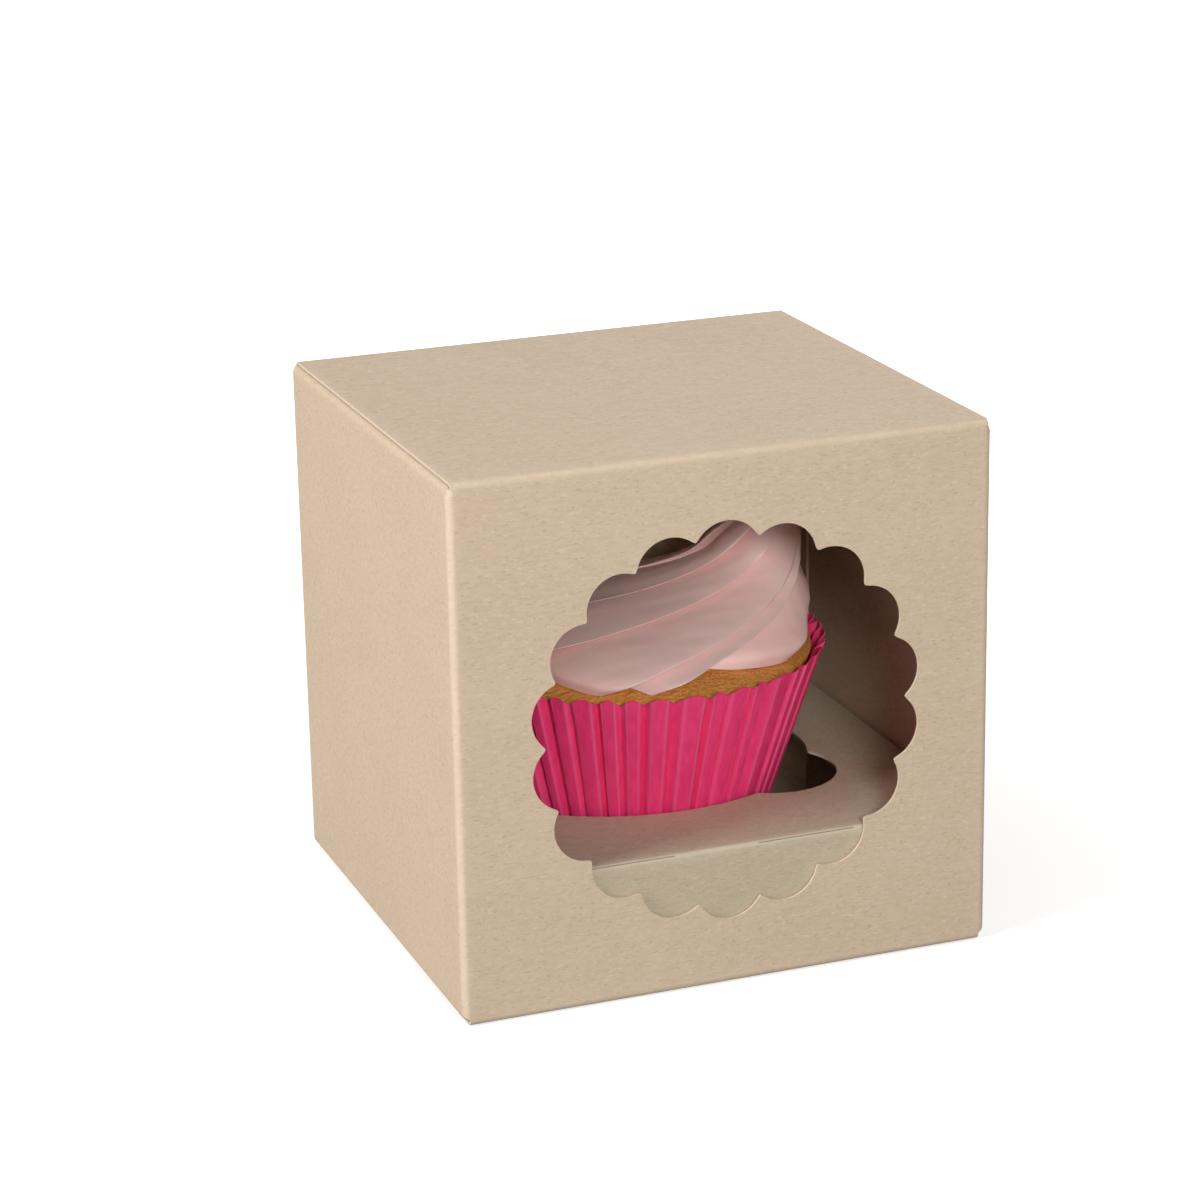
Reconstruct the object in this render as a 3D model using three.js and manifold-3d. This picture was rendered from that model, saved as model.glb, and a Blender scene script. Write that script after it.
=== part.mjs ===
// A carton for one cupcake: a folded board box with a scalloped window, a tuck lid hinged on the front,
// a folded insert with a hole that holds the paper case, and the cupcake itself.
// Millimetres, +Z up, origin under the middle of the box, window facing -Y.

import * as THREE from 'three';
import { mergeVertices } from 'three/addons/utils/BufferGeometryUtils.js';
import { ParametricGeometry } from 'three/addons/geometries/ParametricGeometry.js';
import Module from 'manifold-3d';

const wasm = await Module();
wasm.setup();

// Board box, outside sizes
const boxWidth = 95;
const boxDepth = 88;
const boxHeight = 93;
const boardThickness = 0.5;
const foldRadius = 1.2;
const foldFacets = 3;
const paperGap = 0.3;
const glueBite = 0.05;
const rawEdgeInset = 0.7;

// Window in the front panel
const windowLobes = 18;
const windowLobeFacets = 6;
const windowValleyRadius = 31.8;
const windowPeakRadius = 34.8;

// Top closure
const dustFlapLength = 38;
const dustFlapFrontInset = 1;
const dustFlapBackInset = 3;
const dustFlapTaper = 5;
const tuckLength = 16;
const tuckSideInset = 1.6;
const tuckCornerRadius = 8;
const tuckClearance = 0.4;

// Glued seam and glued bottom
const glueFlapWidth = 13;
const glueFlapTaper = 3;
const bottomFlapLength = 36;
const bottomBackFlapLength = 60;

// Insert
const deckHeight = 24.3;
const holeHalfWidth = 32.3;
const holeHalfDepth = 27.3;
const holeSetback = 2.3;
const fingerReach = 25.7;
const fingerDirection = -0.62;
const fingerRadius = 11.6;
const scoreSlitLength = 17.4;
const scoreSlitWidth = 0.4;
const scoreBridge = 15.2;
const scoreShift = -1.9;

// Paper case
const caseBaseRadius = 23.9;
const caseRimRadius = 34.8;
const caseHeight = 32.5;
const caseThickness = 0.3;
const pleatCount = 45;
const pleatDepth = 1.4;
const pleatFacets = 4;

// Cake
const cakeBelowRim = 1.6;
const domeRise = 5;
const cakeFacets = 48;

// Frosting
const frostingRadius = 31.5;
const frostingHeight = 28;
const frostingEdgeShare = 0.92;
const frostingRidges = 9;
const frostingRidgeFacets = 6;
const frostingRidgeDepth = 0.15;
const frostingTwist = 1.9;
const frostingLean = 24;
const frostingLeanDirection = -0.37;

// Heights and places that follow from the sizes above
const halfWidth = boxWidth / 2;
const halfDepth = boxDepth / 2;
const hingeHeight = boxHeight - foldRadius;
const layer = boardThickness - glueBite;
const floorTop = boardThickness + 2 * layer;
const sideFoldStart = boxHeight - boardThickness - paperGap - foldRadius;
const backPanelTop = boxHeight - boardThickness;
const tuckHalf = halfWidth - boardThickness - tuckSideInset;
const caseSlope = (caseRimRadius - caseBaseRadius) / caseHeight;
const caseSink = Math.max(0, (holeHalfDepth - paperGap - caseBaseRadius) / caseSlope);
const caseSeat = caseSink > 0 ? deckHeight - caseSink : deckHeight + paperGap;
const caseBase = Math.max(caseSeat, floorTop + paperGap);
const caseRim = caseBase + caseHeight;
const caseInset = pleatDepth + caseThickness + paperGap;
const cakeEdge = caseRim - cakeBelowRim;
const cakeEdgeRadius = caseRimRadius - cakeBelowRim * caseSlope - caseInset;
const domeRadius = (cakeEdgeRadius ** 2 + domeRise ** 2) / (2 * domeRise);

const quarterTurn = Math.PI / 2;
const axisX = new THREE.Vector3(1, 0, 0);
const axisY = new THREE.Vector3(0, 1, 0);
const axisZ = new THREE.Vector3(0, 0, 1);

function solidFrom(geometry) {
  const bare = geometry.clone();
  bare.deleteAttribute('normal');
  bare.deleteAttribute('uv');
  const merged = mergeVertices(bare);
  const corners = merged.index.array;
  const triangles = [];
  for (let i = 0; i < corners.length; i += 3) {
    const [a, b, c] = [corners[i], corners[i + 1], corners[i + 2]];
    if (a !== b && b !== c && c !== a) triangles.push(a, b, c);
  }
  return new wasm.Manifold(new wasm.Mesh({
    numProp: 3,
    vertProperties: Float32Array.from(merged.attributes.position.array),
    triVerts: Uint32Array.from(triangles),
  }));
}

function namedMesh(name, solid, material) {
  const { vertProperties, triVerts } = solid.getMesh();
  const geometry = new THREE.BufferGeometry();
  geometry.setAttribute('position', new THREE.BufferAttribute(vertProperties, 3));
  geometry.setIndex(new THREE.BufferAttribute(triVerts, 1));
  geometry.computeVertexNormals();
  const mesh = new THREE.Mesh(geometry, material);
  mesh.name = name;
  return mesh;
}

// Prisms: an outline in the plane across an axis, carried along that axis between two places
function prismAlongX(outline, from, to) {
  const geometry = new THREE.ExtrudeGeometry(outline, { depth: to - from, bevelEnabled: false });
  geometry.applyMatrix4(new THREE.Matrix4().makeBasis(axisY, axisZ, axisX));
  return solidFrom(geometry.translate(from, 0, 0));
}

function prismAlongY(outline, from, to) {
  const geometry = new THREE.ExtrudeGeometry(outline, { depth: to - from, bevelEnabled: false });
  geometry.applyMatrix4(new THREE.Matrix4().makeBasis(axisX, axisZ, axisY.clone().negate()));
  return solidFrom(geometry.translate(0, to, 0));
}

function prismAlongZ(outline, from, to) {
  const geometry = new THREE.ExtrudeGeometry(outline, { depth: to - from, bevelEnabled: false });
  return solidFrom(geometry.translate(0, 0, from));
}

function block(x0, x1, y0, y1, z0, z1) {
  const geometry = new THREE.BoxGeometry(x1 - x0, y1 - y0, z1 - z0);
  return solidFrom(geometry.translate((x0 + x1) / 2, (y0 + y1) / 2, (z0 + z1) / 2));
}

function outlineOf(points) {
  return new THREE.Shape(points.map(([x, y]) => new THREE.Vector2(x, y)));
}

function arcPoints(x, y, radius, from, to, facets) {
  return Array.from({ length: facets + 1 }, (_, i) => {
    const angle = from + (to - from) * i / facets;
    return [x + radius * Math.cos(angle), y + radius * Math.sin(angle)];
  });
}

// Section of a folded strip of board. Its outer face starts at a point with a heading in radians, its inner
// face lies on the left (side 1) or right (side -1), and each step is a straight run or a turn inwards.
function foldedOutline(startX, startY, heading, side, steps) {
  const outer = [];
  const inner = [];
  let point = new THREE.Vector2(startX, startY);
  let angle = heading;
  const inward = () => new THREE.Vector2(-Math.sin(angle), Math.cos(angle)).multiplyScalar(side);
  const mark = () => {
    outer.push(point.clone());
    inner.unshift(point.clone().addScaledVector(inward(), boardThickness));
  };
  mark();
  for (const { run, turn } of steps) {
    if (run) {
      point = point.clone().add(new THREE.Vector2(Math.cos(angle), Math.sin(angle)).multiplyScalar(run));
      mark();
      continue;
    }
    const centre = point.clone().addScaledVector(inward(), foldRadius);
    for (let i = 0; i < foldFacets; i += 1) {
      angle += side * turn / foldFacets;
      point = centre.clone().addScaledVector(inward(), -foldRadius);
      mark();
    }
  }
  return new THREE.Shape([...outer, ...inner]);
}

// Four walls seen from above, one sheet with rounded folds. At the back right corner the right wall ends in
// a raw edge, and the back wall turns in behind it as the glue flap.
function wallsOutline() {
  const corner = (x, y, radius, from) => arcPoints(x, y, radius, from, from + quarterTurn, foldFacets);
  const innerRadius = foldRadius - boardThickness;
  const cornerX = halfWidth - foldRadius;
  const cornerY = halfDepth - foldRadius;
  const seamX = cornerX - boardThickness;
  const flapEnd = cornerY - glueFlapWidth;
  const outer = [
    ...corner(-cornerX, -cornerY, foldRadius, 2 * quarterTurn),
    ...corner(cornerX, -cornerY, foldRadius, 3 * quarterTurn),
    [halfWidth, halfDepth - paperGap],
    [halfWidth - boardThickness, halfDepth - paperGap],
    ...corner(seamX, cornerY, foldRadius, 0),
    ...corner(-cornerX, cornerY, foldRadius, quarterTurn),
  ];
  const inner = [
    ...corner(-cornerX, -cornerY, innerRadius, 2 * quarterTurn),
    ...corner(cornerX, -cornerY, innerRadius, 3 * quarterTurn),
    [halfWidth - boardThickness, flapEnd],
    [halfWidth - boardThickness - layer, flapEnd],
    ...corner(seamX + glueBite, cornerY, innerRadius, 0),
    ...corner(-cornerX, cornerY, innerRadius, quarterTurn),
  ];
  const outline = outlineOf(outer);
  outline.holes.push(outlineOf(inner));
  return outline;
}

// Window outline: a ring of round lobes that meet in cusps
function windowOutline() {
  const halfLobe = Math.PI / windowLobes;
  const cuspAlong = windowValleyRadius * Math.cos(halfLobe);
  const cuspAcross = windowValleyRadius * Math.sin(halfLobe);
  const centreRadius = (windowPeakRadius ** 2 - windowValleyRadius ** 2) / (2 * (windowPeakRadius - cuspAlong));
  const lobeRadius = windowPeakRadius - centreRadius;
  const sweep = Math.atan2(cuspAcross, cuspAlong - centreRadius);
  const points = [];
  for (let k = 0; k < windowLobes; k += 1) {
    const direction = quarterTurn + 2 * k * halfLobe;
    const x = centreRadius * Math.cos(direction);
    const z = boxHeight / 2 + centreRadius * Math.sin(direction);
    points.push(...arcPoints(x, z, lobeRadius, direction - sweep, direction + sweep, windowLobeFacets).slice(1));
  }
  return outlineOf(points);
}

// A dust flap that closes the top from one side: a quarter fold and a flat flap with angled ends, stepped in at
// the back to let the tuck flap pass
function dustFlap() {
  const root = sideFoldStart - foldRadius;
  const strip = foldedOutline(-halfWidth, root, quarterTurn, -1, [
    { run: foldRadius }, { turn: quarterTurn }, { run: dustFlapLength - foldRadius },
  ]);
  const front = -halfDepth + boardThickness + dustFlapFrontInset;
  const back = halfDepth - boardThickness - dustFlapBackInset;
  const foldBack = halfDepth - foldRadius;
  const tuckSide = -tuckHalf - paperGap;
  const rootEnd = -halfWidth + foldRadius + dustFlapTaper;
  const tip = dustFlapLength - halfWidth;
  const plan = outlineOf([
    [-halfWidth - 1, front], [rootEnd, front], [tip, front + dustFlapTaper],
    [tip, back - dustFlapTaper], [rootEnd, back], [tuckSide, back], [tuckSide, foldBack],
    [-halfWidth - 1, foldBack],
  ]);
  return prismAlongY(strip, front, foldBack).intersect(prismAlongZ(plan, root - 1, boxHeight));
}

// A bottom flap folded in from a wall at the start of its profile, lying on the layers under it
function bottomFlap(wallPlace, underside, length, overlap) {
  return foldedOutline(wallPlace, underside + foldRadius + overlap, -quarterTurn, 1, [
    { run: overlap }, { turn: quarterTurn }, { run: length - foldRadius },
  ]);
}

function mirroredAcross(solid, x, y) {
  return solid.mirror([x, y, 0]);
}

function makeCarton() {
  const wallFoot = 2 * layer + foldRadius;
  const flatHalf = halfWidth - foldRadius;
  const overlap = 2 * layer;
  let carton = prismAlongZ(wallsOutline(), wallFoot, backPanelTop);

  // The side walls stop at the dust flaps' folds, and the front stops just under the lid's fold
  for (const side of [-1, 1]) {
    const [near, far] = side < 0 ? [-halfWidth - 1, -flatHalf] : [flatHalf, halfWidth + 1];
    carton = carton.subtract(block(near, far, -boxDepth, boxDepth, sideFoldStart, boxHeight));
  }
  const frontTop = hingeHeight - paperGap;
  carton = carton.subtract(block(-boxWidth, boxWidth, -boxDepth, foldRadius - halfDepth, frontTop, boxHeight));

  // The glue flap ends below the dust flap's fold, with a slanted top
  const flapRoot = halfDepth - foldRadius;
  const flapTop = sideFoldStart - foldRadius;
  const slant = outlineOf([
    [flapRoot + foldRadius - boardThickness, flapTop], [flapRoot, flapTop],
    [flapRoot - glueFlapWidth - 1, flapTop - glueFlapTaper], [flapRoot - glueFlapWidth - 1, boxHeight],
    [flapRoot + foldRadius - boardThickness, boxHeight],
  ]);
  const insideWall = halfWidth - boardThickness;
  carton = carton.subtract(prismAlongX(slant, insideWall - 2 * layer, insideWall));

  const leftDust = dustFlap();
  carton = carton.add(leftDust).add(mirroredAcross(leftDust, 1, 0));

  // Glued bottom: side flaps innermost, then the back flap, then the front flap under everything
  const sideStrip = bottomFlap(-halfWidth, 2 * layer, bottomFlapLength, boardThickness);
  const sideReach = halfDepth - foldRadius;
  const leftFlap = prismAlongY(sideStrip, -sideReach, sideReach);
  carton = carton.add(leftFlap).add(mirroredAcross(leftFlap, 1, 0));

  const backStrip = bottomFlap(-halfDepth, layer, bottomBackFlapLength, overlap);
  const backFlap = prismAlongX(backStrip, rawEdgeInset - halfWidth, halfWidth - rawEdgeInset);
  const backTrim = block(-flatHalf, flatHalf, -boxDepth, boxDepth, 0, boxHeight);
  carton = carton.add(mirroredAcross(backFlap, 0, 1).intersect(backTrim));

  const frontStrip = bottomFlap(-halfDepth, 0, boxDepth - rawEdgeInset, overlap + layer);
  const frontFlap = prismAlongX(frontStrip, rawEdgeInset - halfWidth, halfWidth - rawEdgeInset);
  const frontTrim = block(-flatHalf, flatHalf, -boxDepth, boxDepth, 0, boxHeight)
    .add(block(-boxWidth, boxWidth, foldRadius - halfDepth, boxDepth, -1, boardThickness + glueBite));
  carton = carton.add(frontFlap.intersect(frontTrim));

  return carton.subtract(prismAlongY(windowOutline(), -halfDepth - 1, 1 + foldRadius - halfDepth));
}

// Lid: from the hinge line over the front fold to the back, then down as the tuck flap. The tuck leans in by
// the angle that lets its tip swing up past the back wall.
function makeLid() {
  const foldLine = boxDepth - boardThickness - tuckClearance - foldRadius;
  const lean = Math.asin(tuckLength / (2 * foldLine));
  const strip = foldedOutline(-halfDepth, hingeHeight, quarterTurn, -1, [
    { turn: quarterTurn }, { run: foldLine - foldRadius }, { turn: quarterTurn + lean }, { run: tuckLength },
  ]);
  const lidHalf = halfWidth - rawEdgeInset;
  const tuckRoot = boxHeight - boardThickness;
  const tuckTip = hingeHeight - tuckLength - foldRadius;
  const cornerX = tuckHalf - tuckCornerRadius;
  const cornerZ = tuckTip + foldRadius + tuckCornerRadius;
  const frontView = outlineOf([
    [-lidHalf, boxHeight + 1], [-lidHalf, tuckRoot], [-tuckHalf, tuckRoot],
    ...arcPoints(-cornerX, cornerZ, tuckCornerRadius, 2 * quarterTurn, 3 * quarterTurn, 2 * foldFacets),
    ...arcPoints(cornerX, cornerZ, tuckCornerRadius, 3 * quarterTurn, 4 * quarterTurn, 2 * foldFacets),
    [tuckHalf, tuckRoot], [lidHalf, tuckRoot], [lidHalf, boxHeight + 1],
  ]);
  const trim = prismAlongY(frontView, -boxDepth, boxDepth);
  return prismAlongX(strip, -lidHalf, lidHalf).intersect(trim);
}

// Insert: a deck between two legs, cut for the case and for two fingers, and slit along its front fold
function makeInsert() {
  const wallGap = boardThickness + paperGap;
  const legFace = halfDepth - wallGap;
  const foot = floorTop + paperGap;
  const legRun = deckHeight - foldRadius - foot;
  const strip = foldedOutline(-legFace, foot, quarterTurn, -1, [
    { run: legRun }, { turn: quarterTurn }, { run: 2 * (legFace - foldRadius) },
    { turn: quarterTurn }, { run: legRun },
  ]);
  const insertHalf = halfWidth - wallGap - boardThickness;
  let insert = prismAlongX(strip, -insertHalf, insertHalf);

  const above = deckHeight + 1;
  const below = deckHeight - boardThickness - 1;
  const holeRound = arcPoints(0, 0, 1, 0, 4 * quarterTurn, cakeFacets).slice(1);
  const hole = outlineOf(holeRound.map(([x, y]) => [x * holeHalfWidth, holeSetback + y * holeHalfDepth]));
  insert = insert.subtract(prismAlongZ(hole, below, above));
  for (const side of [1, -1]) {
    const x = side * fingerReach * Math.cos(fingerDirection);
    const y = holeSetback + side * fingerReach * Math.sin(fingerDirection);
    const notch = outlineOf(arcPoints(x, y, fingerRadius, 0, 4 * quarterTurn, cakeFacets / 2).slice(1));
    insert = insert.subtract(prismAlongZ(notch, below, above));
  }

  const slitMiddle = (scoreBridge + scoreSlitLength) / 2;
  const slitTop = deckHeight - foldRadius;
  for (const side of [-1, 1]) {
    const from = scoreShift + side * slitMiddle - scoreSlitLength / 2;
    const front = -legFace - 1;
    insert = insert.subtract(
      block(from, from + scoreSlitLength, front, front + 2, slitTop - scoreSlitWidth, slitTop),
    );
  }
  return insert;
}

// Closed surface of revolution worked out from a function of the turn (0 to 1) and the way along its profile
function turnedSolid(place, around, along) {
  return solidFrom(new ParametricGeometry(place, around, along));
}

// Paper case: a thin cup whose wall is pressed into pleats with flat crests and flat valleys
function makeCase() {
  const profile = [
    [0, caseBase], [caseBaseRadius, caseBase], [caseRimRadius, caseRim], [caseRimRadius - caseThickness, caseRim],
    [caseBaseRadius - caseThickness, caseBase + caseThickness], [0, caseBase + caseThickness],
  ];
  const place = (turn, way, target) => {
    const [radius, height] = profile[Math.round(way * (profile.length - 1))];
    const facet = Math.round(turn * pleatCount * pleatFacets) % pleatFacets;
    const fold = radius > 0 && facet >= pleatFacets / 2 ? pleatDepth : 0;
    const angle = 4 * quarterTurn * turn;
    target.set((radius - fold) * Math.cos(angle), (radius - fold) * Math.sin(angle), height);
  };
  return turnedSolid(place, pleatCount * pleatFacets, profile.length - 1);
}

// Height of the cake's dome at a distance from its middle
function domeHeight(radius) {
  return cakeEdge + Math.sqrt(domeRadius ** 2 - Math.min(radius, cakeEdgeRadius) ** 2) - domeRadius + domeRise;
}

function makeCake() {
  const foot = caseBase + caseThickness + paperGap;
  const footRadius = caseBaseRadius + (foot - caseBase) * caseSlope - caseInset;
  const domeSteps = 6;
  const profile = [[0, foot], [footRadius, foot]];
  for (let i = 0; i <= domeSteps; i += 1) {
    const radius = cakeEdgeRadius * (1 - i / domeSteps);
    profile.push([radius, domeHeight(radius)]);
  }
  const place = (turn, way, target) => {
    const [radius, height] = profile[Math.round(way * (profile.length - 1))];
    const angle = 4 * quarterTurn * turn;
    target.set(radius * Math.cos(angle), radius * Math.sin(angle), height);
  };
  return turnedSolid(place, cakeFacets, profile.length - 1);
}

// Frosting: a piped swirl. Each level is a ring with sharp ridges that turn as they rise, while the middle of
// the ring moves over so that the peak stands above one side. Shares of radius, height and lean per level.
function makeFrosting() {
  const levels = new THREE.CatmullRomCurve3([
    [frostingEdgeShare, 0, 0], [1, 0.07, 0], [0.93, 0.16, 0.08], [0.73, 0.28, 0.36], [0.46, 0.44, 0.69],
    [0.32, 0.57, 0.85], [0.24, 0.74, 0.94], [0.13, 0.88, 0.99], [0, 1, 1],
  ].map((shares) => new THREE.Vector3(...shares)));
  const underSteps = 3;
  const swirlSteps = 20;
  const peak = domeHeight(frostingRadius * frostingEdgeShare) + paperGap + frostingHeight;
  const place = (turn, way, target) => {
    const step = Math.round(way * (underSteps + swirlSteps));
    const rise = Math.max(0, (step - underSteps) / swirlSteps);
    const level = levels.getPoint(rise);
    const angle = 4 * quarterTurn * turn + frostingTwist * level.y;
    const swell = 1 - frostingRidgeDepth * Math.abs(Math.sin(2 * quarterTurn * frostingRidges * turn));
    const under = Math.min(1, step / underSteps);
    const radius = frostingRadius * Math.max(0, level.x) * under * swell;
    const lean = frostingLean * level.z;
    const seat = domeHeight(frostingRadius * frostingEdgeShare * under * swell) + paperGap;
    target.set(
      lean * Math.cos(frostingLeanDirection) + radius * Math.cos(angle),
      lean * Math.sin(frostingLeanDirection) + radius * Math.sin(angle),
      seat + (peak - seat) * Math.max(0, level.y),
    );
  };
  return turnedSolid(place, frostingRidges * frostingRidgeFacets, underSteps + swirlSteps);
}

const board = new THREE.MeshStandardMaterial({ color: 0xccb699, roughness: 0.9, metalness: 0, flatShading: true });
const magentaPaper = new THREE.MeshStandardMaterial({
  color: 0xd8205f, roughness: 0.6, metalness: 0, flatShading: true,
});
const bakedCake = new THREE.MeshStandardMaterial({ color: 0xd08a3c, roughness: 0.85, metalness: 0 });
const pinkFrosting = new THREE.MeshStandardMaterial({ color: 0xe3b5b3, roughness: 0.45, metalness: 0 });

const cupcakeBox = new THREE.Group();
cupcakeBox.add(namedMesh('carton', makeCarton(), board));
cupcakeBox.add(namedMesh('lid', makeLid(), board));
cupcakeBox.add(namedMesh('insert', makeInsert(), board));

// The cupcake stands in the middle of the insert's hole
const cupcake = new THREE.Group();
cupcake.position.set(0, holeSetback, 0);
cupcake.add(namedMesh('paper_case', makeCase(), magentaPaper));
cupcake.add(namedMesh('cake', makeCake(), bakedCake));
cupcake.add(namedMesh('frosting', makeFrosting(), pinkFrosting));
cupcakeBox.add(cupcake);

export default cupcakeBox;
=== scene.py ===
import bmesh
import bpy
import numpy as np
from mathutils import Matrix, Vector


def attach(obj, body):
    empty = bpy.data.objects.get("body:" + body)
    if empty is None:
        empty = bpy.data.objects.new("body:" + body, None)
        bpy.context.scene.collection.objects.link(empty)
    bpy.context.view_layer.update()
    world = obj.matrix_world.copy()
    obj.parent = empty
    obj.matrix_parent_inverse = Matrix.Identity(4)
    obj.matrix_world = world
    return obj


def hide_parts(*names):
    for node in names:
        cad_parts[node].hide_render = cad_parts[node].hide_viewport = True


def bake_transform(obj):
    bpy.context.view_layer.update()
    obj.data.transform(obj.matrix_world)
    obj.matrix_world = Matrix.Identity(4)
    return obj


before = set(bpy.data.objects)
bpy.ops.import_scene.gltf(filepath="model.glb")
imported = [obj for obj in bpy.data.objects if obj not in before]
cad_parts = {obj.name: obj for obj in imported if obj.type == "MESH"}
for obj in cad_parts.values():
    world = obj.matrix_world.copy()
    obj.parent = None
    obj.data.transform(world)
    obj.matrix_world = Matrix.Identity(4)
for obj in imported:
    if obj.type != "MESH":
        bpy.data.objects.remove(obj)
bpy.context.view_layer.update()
print("frame loaded:", ", ".join(sorted(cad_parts)))

mm = 0.001
fullTurn = 2 * np.pi


# Smooth step from 0 to 1 between two places
def easeBetween(low, high, value):
    share = np.clip((value - low) / (high - low), 0, 1)
    return share * share * (3 - 2 * share)


# Cubic curve through knots: between two knots it is the Hermite blend of their values and of the slopes
# that each knot takes from its neighbours
def smoothThrough(knots, values, places):
    knots, values = np.asarray(knots, float), np.asarray(values, float)
    slopes = np.gradient(values, knots)
    left = np.clip(np.searchsorted(knots, places, side="right") - 1, 0, len(knots) - 2)
    span = knots[left + 1] - knots[left]
    share = np.clip((places - knots[left]) / span, 0, 1)
    square, cube = share**2, share**3
    return (
        values[left] * (2 * cube - 3 * square + 1)
        + slopes[left] * span * (cube - 2 * square + share)
        + values[left + 1] * (3 * square - 2 * cube)
        + slopes[left + 1] * span * (cube - square)
    )


# A sheet with an outer and an inner face on one grid of points. Cell (i, j) lies between points i, i + 1
# and j, j + 1. A rim face stands wherever a kept cell meets an empty one. Filled cells, and what lies
# beyond an open side, belong to another grid that shares the border's points.
def sheetOnGrid(outer, inner, keep=None, filled=None, closed=False, beyond=None):
    count, rows = outer.shape[:2]
    cells = (count if closed else count - 1, rows - 1)
    keep = np.ones(cells, bool) if keep is None else keep
    solid = np.pad(keep if filled is None else keep | filled, 1)
    if closed:
        solid[0], solid[-1] = solid[-2], solid[1]
    for side, state in (beyond or {}).items():
        solid[1:-1, {"low": 0, "high": -1}[side]] = state
    offset = count * rows

    def spot(i, j):
        return (i % count) * rows + j

    i, j = np.nonzero(keep)
    corners = np.stack([spot(i, j), spot(i + 1, j), spot(i + 1, j + 1), spot(i, j + 1)], 1)
    faces = [corners, corners[:, ::-1] + offset]
    edges = (  # the way to the neighbour, and the edge's start and end
        ((-1, 0), (0, 1), (0, 0)),
        ((1, 0), (1, 0), (1, 1)),
        ((0, -1), (0, 0), (1, 0)),
        ((0, 1), (1, 1), (0, 1)),
    )
    for (di, dj), start, end in edges:
        i, j = np.nonzero(keep & ~solid[1 + di : 1 + di + cells[0], 1 + dj : 1 + dj + cells[1]])
        a, b = spot(i + start[0], j + start[1]), spot(i + end[0], j + end[1])
        faces.append(np.stack([b, a, a + offset, b + offset], 1))
    cut = np.concatenate([np.zeros(2 * len(corners)), np.ones(sum(len(f) for f in faces[2:]))])
    points = np.concatenate([outer.reshape(-1, 3), inner.reshape(-1, 3)])
    return {"points": points, "faces": np.concatenate(faces), "cut": cut}


# One mesh from sheets that share borders: doubles merged, normals outwards, edges over the angle kept
# sharp. Points that no face uses are dropped, so that the bounds are those of the faces.
def makePiece(name, sheets, finish, body, nodes=(), sharpDegrees=32.0, marks=None):
    starts = np.cumsum([0] + [len(sheet["points"]) for sheet in sheets])
    points = np.concatenate([sheet["points"] for sheet in sheets])
    faces = np.concatenate([sheet["faces"] + start for sheet, start in zip(sheets, starts)])
    used, faces = np.unique(faces, return_inverse=True)
    points, faces = points[used], faces.reshape(-1, 4)
    mesh = bpy.data.meshes.new(name)
    mesh.from_pydata((points * mm).tolist(), [], faces.tolist())
    cut = mesh.attributes.new("cutEdge", "FLOAT", "FACE")
    cut.data.foreach_set("value", np.concatenate([sheet["cut"] for sheet in sheets]).astype(np.float32))
    mark = mesh.attributes.new("foldMark", "FLOAT", "POINT")
    values = np.zeros(len(points)) if marks is None else marks(points)
    mark.data.foreach_set("value", values.astype(np.float32))
    shape = bmesh.new()
    shape.from_mesh(mesh)
    bmesh.ops.remove_doubles(shape, verts=shape.verts, dist=2e-6)
    bmesh.ops.recalc_face_normals(shape, faces=shape.faces)
    shape.to_mesh(mesh)
    shape.free()
    mesh.polygons.foreach_set("use_smooth", np.ones(len(mesh.polygons), bool))
    mesh.set_sharp_from_angle(angle=np.radians(sharpDegrees))
    mesh.materials.append(finish)
    piece = bpy.data.objects.new(name, mesh)
    bpy.context.scene.collection.objects.link(piece)
    if body:
        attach(piece, body)
    if nodes:
        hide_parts(*nodes)
    print("piece made:", name, len(mesh.polygons), "faces")
    return piece


# One shader node: inputs take a value or another node's output
def addNode(tree, kind, inputs=None, **settings):
    node = tree.nodes.new("ShaderNode" + kind)
    for key, value in settings.items():
        setattr(node, key, value)
    for key, value in (inputs or {}).items():
        if isinstance(value, bpy.types.NodeSocket):
            tree.links.new(value, node.inputs[key])
        else:
            node.inputs[key].default_value = value
    return node


def mixColours(tree, share, first, second, blend="MIX"):
    node = addNode(tree, "Mix", {0: share, 6: first, 7: second}, data_type="RGBA", blend_type=blend)
    return node.outputs[2]


# Noise on object coordinates, stretched by a scale per axis in features per metre
def noiseOn(tree, scales, detail=2.0, roughness=0.5, turn=(0, 0, 0)):
    place = addNode(tree, "TexCoord").outputs["Object"]
    placed = addNode(tree, "Mapping", {"Vector": place, "Scale": scales, "Rotation": turn}).outputs[0]
    inputs = {"Vector": placed, "Scale": 1.0, "Detail": detail, "Roughness": roughness}
    return addNode(tree, "TexNoise", inputs).outputs["Fac"]


def rampOn(tree, value, low, high):
    limits = {"Value": value, "From Min": low, "From Max": high}
    return addNode(tree, "MapRange", limits, interpolation_type="SMOOTHSTEP").outputs[0]


def attributeValue(tree, name):
    return addNode(tree, "Attribute", attribute_name=name).outputs["Fac"]


def newFinish(name, settings):
    finish = bpy.data.materials.new(name)
    finish.use_nodes = True
    tree = finish.node_tree
    shader = tree.nodes["Principled BSDF"]
    for key, value in settings.items():
        shader.inputs[key].default_value = value
    return finish, tree, shader


def scaled(tree, value, factor):
    return addNode(tree, "Math", {0: value, 1: factor}, operation="MULTIPLY").outputs[0]


# Colour and a small relief into the shader
def dress(tree, shader, colour, height, strength, distance):
    tree.links.new(colour, shader.inputs["Base Color"])
    bump = addNode(tree, "Bump", {"Height": height, "Strength": strength, "Distance": distance})
    tree.links.new(bump.outputs[0], shader.inputs["Normal"])


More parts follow.
